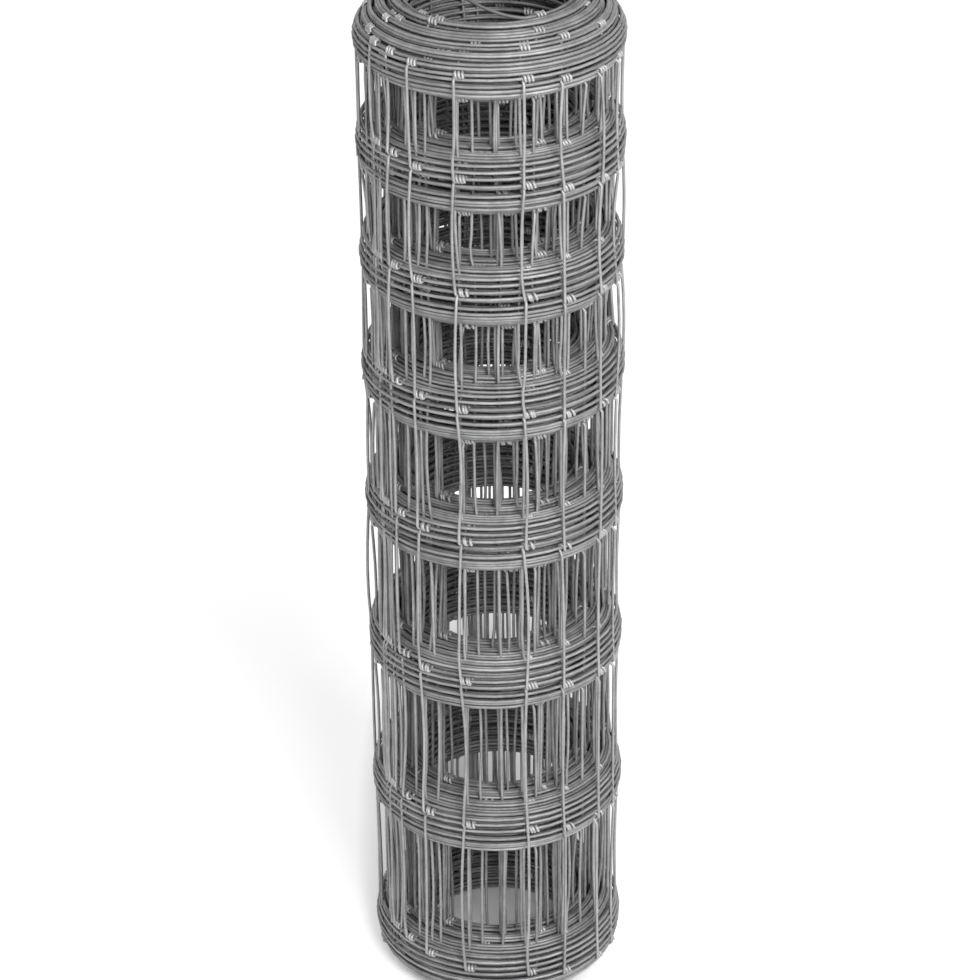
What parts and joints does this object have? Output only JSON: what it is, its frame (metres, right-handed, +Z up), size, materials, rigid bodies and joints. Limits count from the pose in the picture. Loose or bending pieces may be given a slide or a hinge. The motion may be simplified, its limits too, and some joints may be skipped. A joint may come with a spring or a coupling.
{
  "type": "roll of wire fencing",
  "caption": "Standing roll of knotted wire livestock fencing: stacked rings of wound line wire joined by an open cage of upright stays round a clear bore.",
  "frame": {"origin": "middle of the roll's lower end, on the floor", "axes": "+Z up along the roll's axis and bore, from the widely spaced line wires to the closely spaced ones"},
  "size_m": [0.2119, 0.212, 0.854],
  "materials": {
    "galvanised_wire": "weathered galvanised wire, satin"
  },
  "bodies": {
    "root": {"fence_roll": "galvanised_wire"}
  },
  "joints": []
}
